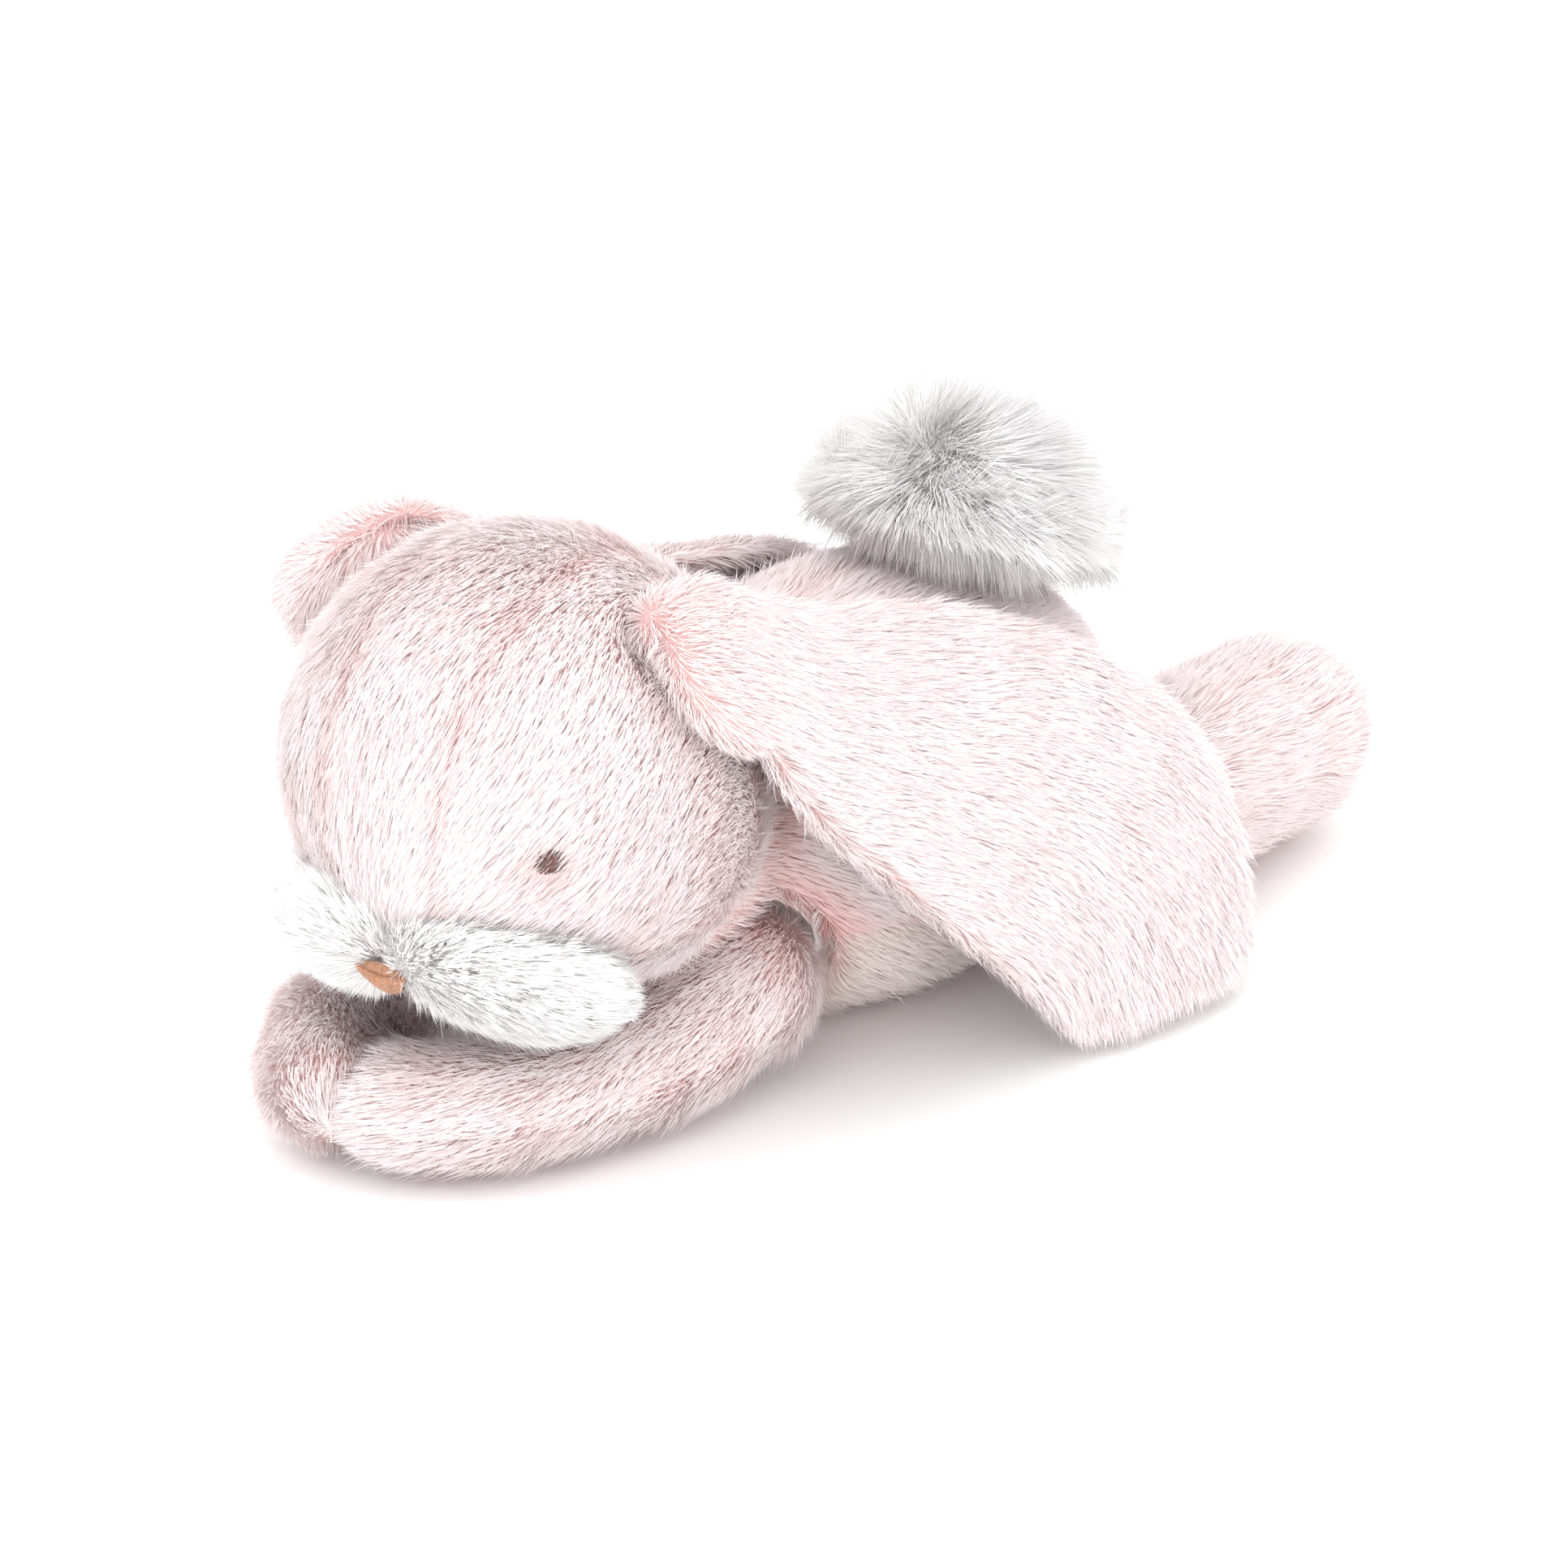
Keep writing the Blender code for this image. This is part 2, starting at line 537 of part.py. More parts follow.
# ---------------------------------------------------------------- tail
# The pompom sits on the back where a line from the body's centre to its own centre meets the skin,
# and its base slopes away from that point, which leaves room to rock.
reach = TAIL_CENTRE - BODY_CENTRE
spread = math.sqrt((2 * reach.y / BODY_SIZE.y) ** 2 + (2 * reach.z / BODY_SIZE.z) ** 2)
tail_seat = BODY_CENTRE + reach / spread
from_centre = tail_seat - BODY_CENTRE
tail_way = Vector((0.0, from_centre.y / BODY_SIZE.y**2, from_centre.z / BODY_SIZE.z**2)).normalized()
seat_turn = Vector((0, 0, 1)).rotation_difference(tail_way).to_matrix().to_4x4()
tail_pivot = pivot("tail", tail_seat)

rise = 2 * FAR * math.tan(TAIL_BASE_SLOPE)
seat_form = bmesh.new()
bmesh.ops.create_cone(seat_form, cap_ends=True, segments=24, radius1=0, radius2=2 * FAR, depth=rise)
lifted = Matrix.Translation(tail_seat) @ seat_turn @ Matrix.Translation((0, 0, rise / 2 + GAP))
bmesh.ops.transform(seat_form, matrix=lifted, verts=seat_form.verts)
seat_mesh = bpy.data.meshes.new("tail_room")
seat_form.to_mesh(seat_mesh)
seat_form.free()
tail_room = add("tail_room", seat_mesh, cutters)

tail_place = Matrix.Translation(TAIL_CENTRE)
tail_size = Vector((TAIL_RADIUS * 2,) * 3)
tail_inner = ball_mesh("tail_hollow", grown(tail_size, -TAIL_PILE), *ROUND, tail_place)
tail_inner = add("tail_hollow", tail_inner, cutters)
tail_outer = ball_mesh("tail_cover", tail_size, *ROUND, tail_place)
tail = add("tail_cover", tail_outer, parts, cloth("white_plush", WHITE), tail_pivot)
combine(tail, tail_inner, "DIFFERENCE")
combine(tail, tail_room, "INTERSECT")
tail_core = ball_mesh("tail_stuffing", grown(tail_size, -TAIL_PILE - GAP), *ROUND, tail_place)
tail_core = add("tail_stuffing", tail_core, parts, cloth("fibre", FIBRE), tail_pivot)
combine(tail_core, tail_room, "INTERSECT")


# ---------------------------------------------------------------- place on the ground
bpy.context.view_layer.update()
depsgraph = bpy.context.evaluated_depsgraph_get()
corners = []
for item in parts.objects:
    if item.type == "MESH":
        evaluated = item.evaluated_get(depsgraph)
        corners += [evaluated.matrix_world @ Vector(corner) for corner in evaluated.bound_box]
low = Vector([min(corner[axis] for corner in corners) for axis in range(3)])
high = Vector([max(corner[axis] for corner in corners) for axis in range(3)])
placer.location = Vector((-(low.x + high.x) / 2, -(low.y + high.y) / 2, -low.z))
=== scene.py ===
import json
import math

import bpy
import numpy as np
from mathutils import Matrix, Vector, kdtree
from mathutils.bvhtree import BVHTree

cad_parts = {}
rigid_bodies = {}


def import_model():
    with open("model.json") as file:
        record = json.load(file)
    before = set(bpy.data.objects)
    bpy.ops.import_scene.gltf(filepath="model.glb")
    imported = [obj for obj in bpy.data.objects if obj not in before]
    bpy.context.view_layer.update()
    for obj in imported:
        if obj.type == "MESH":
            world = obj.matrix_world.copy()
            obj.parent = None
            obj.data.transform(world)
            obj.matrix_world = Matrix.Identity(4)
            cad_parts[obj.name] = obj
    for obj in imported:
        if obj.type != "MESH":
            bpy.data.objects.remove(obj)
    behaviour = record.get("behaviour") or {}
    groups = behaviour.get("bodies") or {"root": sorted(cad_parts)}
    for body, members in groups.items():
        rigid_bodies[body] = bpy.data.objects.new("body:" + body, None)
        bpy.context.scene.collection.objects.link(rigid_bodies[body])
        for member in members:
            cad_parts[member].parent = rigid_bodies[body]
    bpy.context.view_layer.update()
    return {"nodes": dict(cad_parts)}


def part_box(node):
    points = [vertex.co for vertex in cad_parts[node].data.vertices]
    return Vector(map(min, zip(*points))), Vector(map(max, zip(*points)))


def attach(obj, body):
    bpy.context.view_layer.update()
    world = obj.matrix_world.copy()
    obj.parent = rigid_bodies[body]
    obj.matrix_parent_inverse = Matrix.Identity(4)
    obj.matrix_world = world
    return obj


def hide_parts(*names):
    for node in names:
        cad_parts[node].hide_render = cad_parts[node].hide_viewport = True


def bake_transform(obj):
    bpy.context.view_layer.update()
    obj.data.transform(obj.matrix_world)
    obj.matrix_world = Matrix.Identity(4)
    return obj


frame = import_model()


def only(item):
    """Selects this object alone and makes it the active one."""
    bpy.ops.object.select_all(action="DESELECT")
    item.select_set(True)
    bpy.context.view_layer.objects.active = item


def apply_modifier(item, kind, **settings):
    modifier = item.modifiers.new(kind.lower(), kind)
    for key, value in settings.items():
        setattr(modifier, key, value)
    only(item)
    bpy.ops.object.modifier_apply(modifier=modifier.name)


def backing(name, solids, voxel, inset, smoothing=6, fold=None):
    """The closed cloth bag inside these panels, sunk below their face by the depth of the pile.
    A fold of cloth may be added: its middle, the way it runs, the way it spreads and its half sizes."""
    bpy.ops.object.select_all(action="DESELECT")
    copies = []
    for solid in solids:
        item = bpy.data.objects.new(name, frame["nodes"][solid].data.copy())
        bpy.context.scene.collection.objects.link(item)
        item.select_set(True)
        copies.append(item)
    if fold:
        middle, runs, spreads, half_sizes = fold
        runs = Vector(runs).normalized()
        thick = runs.cross(Vector(spreads)).normalized()
        turn = Matrix((runs, thick.cross(runs), thick)).transposed().to_euler()
        bpy.ops.object.select_all(action="DESELECT")
        bpy.ops.mesh.primitive_uv_sphere_add(segments=24, ring_count=12, radius=1.0, location=middle,
                                             rotation=turn, scale=half_sizes)
        bpy.ops.object.transform_apply(location=True, rotation=True, scale=True)
        copies.append(bpy.context.object)
        for item in copies:
            item.select_set(True)
    bpy.context.view_layer.objects.active = copies[0]
    if len(copies) > 1:
        bpy.ops.object.join()
    bag = copies[0]
    bag.name = name
    only(bag)
    bpy.ops.object.mode_set(mode="EDIT")
    bpy.ops.mesh.select_all(action="SELECT")
    bpy.ops.mesh.remove_doubles(threshold=1e-6)
    bpy.ops.object.mode_set(mode="OBJECT")
    apply_modifier(bag, "REMESH", mode="VOXEL", voxel_size=voxel)
    keep_largest(bag)
    apply_modifier(bag, "SMOOTH", factor=0.5, iterations=smoothing)
    if inset:
        apply_modifier(bag, "DISPLACE", strength=-inset, mid_level=0.0)
    bag.data.materials.clear()
    bpy.ops.object.shade_smooth()
    return bag


def keep_largest(item):
    """Deletes the walls of hollows that the remesh closed in, so that only the outside is left."""
    only(item)
    before = set(bpy.data.objects)
    bpy.ops.object.mode_set(mode="EDIT")
    bpy.ops.mesh.select_all(action="SELECT")
    bpy.ops.mesh.separate(type="LOOSE")
    bpy.ops.object.mode_set(mode="OBJECT")
    shells = [item, *(set(bpy.data.objects) - before)]
    largest = max(shells, key=lambda shell: (shell.dimensions.length, len(shell.data.vertices)))
    if largest is not item:
        item.data, largest.data = largest.data, item.data
    for shell in shells:
        if shell is not item:
            bpy.data.objects.remove(shell)


def knit(name, colour):
    """Knitted backing cloth: fine courses of loops, seen only where the pile parts."""
    material = bpy.data.materials.new(name)
    material.use_nodes = True
    nodes, links = material.node_tree.nodes, material.node_tree.links
    shader = nodes["Principled BSDF"]
    place = nodes.new("ShaderNodeTexCoord")
    courses = nodes.new("ShaderNodeTexWave")
    courses.inputs["Scale"].default_value = 420.0
    courses.inputs["Distortion"].default_value = 2.0
    shades = nodes.new("ShaderNodeValToRGB")
    shades.color_ramp.elements[0].color = [0.82 * c for c in colour] + [1.0]
    shades.color_ramp.elements[1].color = [*colour, 1.0]
    dent = nodes.new("ShaderNodeBump")
    dent.inputs["Distance"].default_value = 0.0003
    links.new(place.outputs["Object"], courses.inputs["Vector"])
    links.new(courses.outputs["Fac"], shades.inputs["Fac"])
    links.new(shades.outputs["Color"], shader.inputs["Base Color"])
    links.new(courses.outputs["Fac"], dent.inputs["Height"])
    links.new(dent.outputs["Normal"], shader.inputs["Normal"])
    shader.inputs["Roughness"].default_value = 0.9
    return material


def plush(name, deep_and_shaded, pale, sheen=0.25, through_light=0.45):
    """Pile yarn: each strand darkens to its root, a painted shade for the depth of the pile, and strands
    vary from the deep to the pale tone, random dye lots with painted crease shade at the deep end.
    """
    material = bpy.data.materials.new(name)
    material.use_nodes = True
    nodes, links = material.node_tree.nodes, material.node_tree.links
    shader = nodes["Principled BSDF"]
    along = nodes.new("ShaderNodeUVMap")
    along.uv_map = "pile"
    parts = nodes.new("ShaderNodeSeparateXYZ")
    links.new(along.outputs["UV"], parts.inputs["Vector"])
    ramps = []
    for shades in (deep_and_shaded, pale):
        ramp = nodes.new("ShaderNodeValToRGB")
        elements = ramp.color_ramp.elements
        elements[0].color = [*shades[0], 1.0]
        elements[1].color = [*shades[2], 1.0]
        middle = elements.new(0.5)
        middle.color = [*shades[1], 1.0]
        links.new(parts.outputs["Y"], ramp.inputs["Fac"])
        ramps.append(ramp)
    mixed = nodes.new("ShaderNodeMix")
    mixed.data_type = "RGBA"
    links.new(parts.outputs["X"], mixed.inputs["Factor"])
    links.new(ramps[0].outputs["Color"], mixed.inputs["A"])
    links.new(ramps[1].outputs["Color"], mixed.inputs["B"])
    links.new(mixed.outputs["Result"], shader.inputs["Base Color"])
    through = nodes.new("ShaderNodeBsdfTranslucent")
    links.new(mixed.outputs["Result"], through.inputs["Color"])
    both = nodes.new("ShaderNodeMixShader")
    both.inputs["Fac"].default_value = through_light
    links.new(shader.outputs["BSDF"], both.inputs[1])
    links.new(through.outputs["BSDF"], both.inputs[2])
    links.new(both.outputs["Shader"], nodes["Material Output"].inputs["Surface"])
    shader.inputs["Roughness"].default_value = 0.7
    shader.inputs["Sheen Weight"].default_value = sheen
    shader.inputs["Sheen Roughness"].default_value = 0.5
    return material


def unit(vectors):
    return vectors / np.maximum(np.linalg.norm(vectors, axis=-1, keepdims=True), 1e-9)


def solid_tree(solid):
    mesh = frame["nodes"][solid].data
    return BVHTree.FromPolygons([v.co for v in mesh.vertices], [p.vertices for p in mesh.polygons])


def roots_on(bag, count, weight, seed, fields):
    """Points spread over a bag in proportion to weight, with their normals and each field's value."""
    mesh = bag.data
    mesh.calc_loop_triangles()
    points = np.empty(len(mesh.vertices) * 3)
    mesh.vertices.foreach_get("co", points)
    points = points.reshape(-1, 3)
    normals = np.empty(len(mesh.vertices) * 3)
    mesh.vertex_normals.foreach_get("vector", normals)
    normals = normals.reshape(-1, 3)
    corners = np.empty(len(mesh.loop_triangles) * 3, int)
    mesh.loop_triangles.foreach_get("vertices", corners)
    corners = corners.reshape(-1, 3)
    middle = points[corners].mean(1)
    facing = unit(normals[corners].mean(1))
    edges = points[corners[:, 1:]] - points[corners[:, :1]]
    area = np.linalg.norm(np.cross(edges[:, 0], edges[:, 1]), axis=1)
    share = np.cumsum(area * weight(middle, facing))
    rng = np.random.default_rng(seed)
    place = (np.arange(count) + rng.random(count)) / count
    chosen = np.minimum(np.searchsorted(share, place * share[-1]), len(share) - 1)
    mix = rng.random((count, 2))
    mix = np.where(mix.sum(1, keepdims=True) > 1, 1 - mix, mix)
    mix = np.column_stack([1 - mix.sum(1), mix])[..., None]
    found = [(array[corners[chosen]] * mix).sum(1) for array in (points, normals)]
    values = [(np.asarray(field)[corners[chosen]] * mix[..., 0]).sum(1) for field in fields]
    return found[0], unit(found[1]), values


def distances(bag, solids):
    """How far each point of the bag is from each of these panels."""
    places = [v.co.copy() for v in bag.data.vertices]
    return [[tree.find_nearest(p)[3] for p in places] for tree in map(solid_tree, solids)]


def gap_to(bag, solids):
    return distances_to([v.co.copy() for v in bag.data.vertices], solids)


def distances_to(points, solids):
    """How far each point is from the nearest of these solids."""
    trees = [solid_tree(solid) for solid in solids]
    return np.array([min(tree.find_nearest(p)[3] for tree in trees) for p in points])


def crease_shade(gap, width=0.016):
    """How much painted shade a crease gets: 1 where the bag touches a neighbour, falling to 0 at this
    width.
    """
    return np.clip(1 - np.asarray(gap) / width, 0, 1)


def ripple(points, size, seed):
    """A smooth uneven field from about -1 to 1 whose waves are about size across."""
    rng = np.random.default_rng(seed)
    total = np.zeros(len(points))
    for _ in range(6):
        way = unit(rng.normal(size=3)) * rng.uniform(0.7, 1.5) * math.tau / size
        total += np.sin(points @ way + rng.uniform(0, math.tau))
    return total / 3


STRIPS = 40                # steps of tone across the map named pile, random dye and painted crease shade
FLOOR_ROOM = 0.0003        # strands stay this far above the floor
STEPS = 2                  # bends of a strand from its root to its tip
WIDTHS = (1.0, 0.85)       # share of the full width at the foot of each step


def strands(name, roots, normals, nap, length, lean, tone, seed, width=0.00037, tuft=10, gather=0.06,
            unruly=1.0):
    """One mesh of pile strands that lean along the nap and gather in tufts. The map named pile holds
    the tone across, random dye lots with painted crease shade at the deep end, and the way from root to tip
    upwards; its copy, OFBake, is the one kept when the colours are baked. One strand in about thirty
    strays."""
    rng = np.random.default_rng(seed)
    count = len(roots)
    nap = nap + np.zeros((count, 3))
    length, lean, tone = (value + np.zeros(count) for value in (length, lean, tone))
    leaders = rng.choice(count, max(count // tuft, 1), replace=False)
    tree = kdtree.KDTree(len(leaders))
    for index, leader in enumerate(leaders):
        tree.insert(roots[leader], index)
    tree.balance()
    mine = np.array([tree.find(root)[1] for root in roots])
    tufts = len(leaders)

    def varied(of_tuft, of_strand):
        return rng.normal(0, of_tuft * unruly, tufts)[mine] + rng.normal(0, of_strand * unruly, count)

    nap = unit(nap - normals * (nap * normals).sum(1, keepdims=True))
    swing = varied(0.06, 0.08)[:, None]
    way = nap * np.cos(swing) + np.cross(normals, nap) * np.sin(swing)
    stray = rng.random(count) < 0.03
    lean = np.clip(lean + varied(0.02, 0.05) - 0.4 * stray, 0.05, 1.45)[:, None]
    length = (length * np.clip(1 + varied(0.04, 0.11) + 0.15 * stray, 0.5, 1.6))[:, None]
    line = [roots - normals * 0.0006]
    for step in range(STEPS):
        bend = lean * (0.6 + 0.6 * step / (STEPS - 1))
        line.append(line[-1] + (normals * np.cos(bend) + way * np.sin(bend)) * length / STEPS)
    pull = gather * rng.uniform(0.3, 1.0, count)[:, None]
    led = [points[leaders[mine]] for points in line]
    line = [points + (target - points) * pull * (step / STEPS) ** 1.5
            for step, (points, target) in enumerate(zip(line, led))]
    twist = rng.normal(0, 0.35, count)[:, None]
    across = unit(np.cross(way, normals)) * np.cos(twist) + normals * np.sin(twist)
    half = width / 2 * rng.uniform(0.7, 1.3, count)[:, None]

    per = 2 * STEPS + 1
    points = np.empty((count, per, 3))
    for step in range(STEPS):
        points[:, 2 * step] = line[step] - across * half * WIDTHS[step]
        points[:, 2 * step + 1] = line[step] + across * half * WIDTHS[step]
    points[:, -1] = line[-1]
    points[..., 2] = np.maximum(points[..., 2], FLOOR_ROOM)
    quads = [[2 * s, 2 * s + 1, 2 * s + 3, 2 * s + 2] for s in range(STEPS - 1)]
    corners = np.array([c for quad in quads for c in quad] + [per - 3, per - 2, per - 1])
    loops = (np.arange(count)[:, None] * per + corners).ravel()
    sizes = np.tile([4] * len(quads) + [3], count)
    mesh = bpy.data.meshes.new(name)
    mesh.vertices.add(count * per)
    mesh.vertices.foreach_set("co", points.ravel())
    mesh.loops.add(len(loops))
    mesh.loops.foreach_set("vertex_index", loops)
    mesh.polygons.add(len(sizes))
    mesh.polygons.foreach_set("loop_start", np.concatenate([[0], np.cumsum(sizes)[:-1]]))
    mesh.update(calc_edges=True)
    tone = np.clip(tone + varied(0.025, 0.06), 0, 0.999)
    strip = np.floor(tone * STRIPS) / STRIPS
    upward = np.repeat(np.arange(STEPS + 1) / STEPS, 2)[:-1]
    sideways = np.append(np.tile([0.04, 0.96], STEPS), 0.5) / STRIPS
    spots = np.stack([strip[:, None] + sideways, np.broadcast_to(upward, (count, per))], -1)
    spots = spots.reshape(-1, 2)[loops].ravel()
    for title in ("pile", "OFBake"):
        mesh.uv_layers.new(name=title).data.foreach_set("uv", spots)
    face = unit(np.cross(across, line[1] - line[0]))
    shading = unit(normals * 0.94 + face * 0.06)
    mesh.normals_split_custom_set_from_vertices(np.repeat(shading, per, axis=0))
    item = bpy.data.objects.new(name, mesh)
    bpy.context.scene.collection.objects.link(item)
    return item


def finish_pile(item, material, body, slot, *solids):
    item.data.materials.append(material)
    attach(item, body)
    if solids:
        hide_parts(*solids)


BODY_PILE = 0.0105
body_panels = ["back_panel_left", "back_panel_right", "belly_panel"]
body_bag = backing("body_backing", body_panels + ["body_stuffing", "pellet_bag"], 0.004, 0.0055)
body_bag.data.materials.append(knit("pink_knit", (0.80, 0.52, 0.50)))
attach(body_bag, "torso")

# Each yarn's first shades, root to tip, are the deep end, where crease tones land as painted shade; every
# strand's root is darkened as painted shade for the depth of the pile
pink_yarn = plush(
    "pink_plush_yarn",
    ((0.86, 0.40, 0.35), (0.94, 0.60, 0.57), (0.96, 0.74, 0.72)),
    ((0.97, 0.84, 0.83), (0.985, 0.935, 0.94), (0.99, 0.965, 0.97)),
)
cream_yarn = plush(
    "cream_plush_yarn",
    ((0.86, 0.62, 0.55), (0.94, 0.82, 0.78), (0.96, 0.89, 0.86)),
    ((0.92, 0.78, 0.73), (0.97, 0.91, 0.88), (0.98, 0.95, 0.93)),
)


def off_the_floor(middle, facing):
    """Less pile where the body presses on whatever it lies on."""
    return np.where((facing[:, 2] < -0.6) & (middle[:, 2] < 0.02), 0.25, 1.0)


def everywhere(middle, facing):
    return np.ones(len(middle))


neighbours = ["cheek_panel_left", "cheek_panel_right", "head_back_panel", "chin_panel", "arm_left_upper",
              "arm_left_lower", "arm_right_upper", "arm_right_lower", "leg_left_upper", "leg_right_upper",
              "tail_cover"]
body_fields = distances(body_bag, body_panels) + [gap_to(body_bag, neighbours)]
roots, normals, reach = roots_on(body_bag, 104000, off_the_floor, 11, body_fields)
# fold: painted shade on the body where the head, arms, legs and tail lie against it
fold = crease_shade(reach.pop(), 0.018)
reach = np.array(reach)
owner = reach.argmin(0)
seam = np.sort(reach, axis=0)[1]
for index, (panel, yarn, slot) in enumerate(zip(
        body_panels, (pink_yarn, pink_yarn, cream_yarn), ("pink_plush", "pink_plush", "cream_plush"))):
    mine = owner == index
    here, out = roots[mine], normals[mine]
    nap = np.array([0.0, 1.0, -0.35]) + 0.25 * ripple(here, 0.05, 5)[:, None] * np.array([1.0, 0, 0])
    near_seam = np.clip(1 - seam[mine] / 0.006, 0, 1)
    long = BODY_PILE * (1 - 0.25 * near_seam) * (1 + 0.08 * ripple(here, 0.03, 6))
    # The tone deepens as painted shade in those creases (fold)
    tone = 0.93 + 0.05 * ripple(here, 0.035, 7) - 0.25 * near_seam - 0.95 * fold[mine]
    lean = 1.08 + 0.08 * ripple(here, 0.04, 8)
    item = strands("pile_" + panel, here, out, nap, long, lean, tone, 20 + index)
    finish_pile(item, yarn, "torso", slot, panel)


# ---------------------------------------------------------------- head
# The head is a firm ball of fibre in plush: a forehead gusset between two cheeks, a back panel and a chin.
# The nap of the face runs down to the nose, and the seams show as shallow partings in the pile.
HEAD_PILE = 0.0095
head_panels = ["forehead_gusset", "cheek_panel_left", "cheek_panel_right", "head_back_panel", "chin_panel"]
head_bag = backing("head_backing", head_panels + ["head_stuffing"], 0.004, 0.0052)
head_bag.data.materials.append(knit("face_knit", (0.82, 0.55, 0.53)))
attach(head_bag, "head")


def middle_of(solid):
    low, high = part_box(solid)
    return (np.array(low) + np.array(high)) / 2


head_low, head_high = (np.array(corner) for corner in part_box("head_stuffing"))
head_middle = (head_low + head_high) / 2
nose_middle = middle_of("nose")
eyes = {side: middle_of("eye_" + side) for side in ("left", "right")}


def over_the_head(middle, facing):
    return np.where(facing[:, 2] < -0.75, 0.5, 1.0)


# Full cheeks, which rest on the arms
CHEEKS = ((0.060, -0.094, 0.068), (-0.052, -0.118, 0.068))
CHEEK_REACH = 0.030
CHEEK_SWELL = 0.0075
places = np.array([v.co for v in head_bag.data.vertices])
swell = np.zeros(len(places))
for cheek in CHEEKS:
    swell += np.exp(-((np.linalg.norm(places - np.array(cheek), axis=1) / CHEEK_REACH) ** 2))
for point, amount in zip(head_bag.data.vertices, swell):
    point.co += point.normal * CHEEK_SWELL * amount
head_bag.data.update()

neighbours = ["arm_left_upper", "arm_right_upper", "ear_left_lining", "ear_right_lining", "back_panel_left",
              "back_panel_right"]
head_fields = distances(head_bag, head_panels) + [gap_to(head_bag, neighbours)]
roots, normals, reach = roots_on(head_bag, 136000, over_the_head, 12, head_fields)
# fold: painted shade on the head where it lies against the arms, ears and back
fold = crease_shade(reach.pop(), 0.012)
reach = np.array(reach)
owner = reach.argmin(0)
seam = np.sort(reach, axis=0)[1]
EYE_ROOM = 0.0038          # no strand grows nearer to the middle of an eye than this
MUZZLE_ROOM = 0.0015       # nor nearer to the muzzle
clear = np.min([np.linalg.norm((roots - eye) * [1, 1, 1.15], axis=1) for eye in eyes.values()], axis=0)
clear = np.minimum(clear, np.linalg.norm(roots - nose_middle, axis=1) * 0.62)
puff_reach = distances_to(roots, ["muzzle_left", "muzzle_right"])
for index, panel in enumerate(head_panels):
    mine = (owner == index) & (clear > EYE_ROOM) & (puff_reach > MUZZLE_ROOM)
    here, out = roots[mine], normals[mine]
    behind = np.clip((here[:, 1:2] - head_middle[1]) / 0.05, 0, 1)
    nap = unit(nose_middle + np.array([0, 0, 0.004]) - here) + behind * np.array([0.0, 0.0, 1.2])
    nap = nap + 0.18 * ripple(here, 0.045, 9)[:, None] * np.array([1.0, 0.0, 0.3])
    near_seam = np.clip(1 - seam[mine] / 0.005, 0, 1)
    near_eye = np.clip(1 - (clear[mine] - EYE_ROOM) / 0.010, 0, 1)
    long = HEAD_PILE * (1 - 0.2 * near_seam) * (1 - 0.15 * near_eye) * (1 + 0.07 * ripple(here, 0.03, 6))
    # The tone deepens as painted shade where the head meets its neighbours (fold)
    tone = 0.94 + 0.05 * ripple(here, 0.03, 7) - 0.22 * near_seam - 0.35 * near_eye - 0.65 * fold[mine]
    lean = 1.10 + 0.06 * ripple(here, 0.04, 8)
    item = strands("pile_" + panel, here, out, nap, long, lean, tone, 30 + index)
    finish_pile(item, pink_yarn, "head", "pink_plush", panel)


# ---------------------------------------------------------------- neck
# A gusset of the same plush joins the head to the body, so that no gap opens when the head lifts.
bpy.ops.object.select_all(action="DESELECT")
NECK_PILE = 0.008
NECK_HEAD, NECK_BODY = Vector((0.002, -0.112, 0.088)), Vector((0.000, -0.066, 0.070))
NECK_HALF_SIZES = (0.047, 0.050, 0.048)
bpy.ops.mesh.primitive_uv_sphere_add(segments=32, ring_count=20, radius=1.0,
                                     location=NECK_HEAD.lerp(NECK_BODY, 0.5), scale=NECK_HALF_SIZES)
neck = bpy.context.object
neck.name = "neck_gusset"
bpy.ops.object.transform_apply(location=True, rotation=True, scale=True)
bpy.ops.object.shade_smooth()
neck.data.materials.append(bpy.data.materials["pink_knit"])
here, out, _ = roots_on(neck, 9000, everywhere, 23, [])
nap = np.array([0.0, 1.0, -0.2])
neck_pile = strands("pile_neck_gusset", here, out, nap, NECK_PILE, 1.0, 0.85, 24)
neck_pile.data.materials.append(pink_yarn)
for piece in (neck, neck_pile):
    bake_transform(piece)


# ---------------------------------------------------------------- muzzle
# Two white puffs of longer plush, gathered and sewn on either side of the nose.
white_yarn = plush(
    "white_plush_yarn",
    ((0.93, 0.82, 0.80), (0.97, 0.92, 0.91), (0.98, 0.95, 0.95)),
    ((0.98, 0.965, 0.965), (0.99, 0.985, 0.985), (0.995, 0.99, 0.99)),
)
white_knit = knit("white_knit", (0.85, 0.80, 0.78))
MUZZLE_PILE = 0.0088
MUZZLE_LIFT = Vector((0, 0, 0.0055))      # the puffs sit up against the cheeks
MUZZLE_PLUMP = 0.002
for index, side in enumerate(("left", "right")):
    puff = backing("muzzle_backing_" + side, ["muzzle_" + side], 0.0025, 0.0022, 4)
    for point in puff.data.vertices:
        point.co += MUZZLE_LIFT + point.normal * MUZZLE_PLUMP
    puff.data.materials.append(white_knit)
    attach(puff, "head")
    here, out, _ = roots_on(puff, 20000, everywhere, 13 + index, [])
    nap = unit(here - nose_middle) + np.array([0, 0, -0.15])
    tone = 0.93 + 0.05 * ripple(here, 0.02, 7)
    long = MUZZLE_PILE * (1 + 0.08 * ripple(here, 0.015, 3))
    item = strands("pile_muzzle_" + side, here, out, nap, long, 1.02, tone, 40 + index)
    finish_pile(item, white_yarn, "head", "white_plush", "muzzle_" + side)


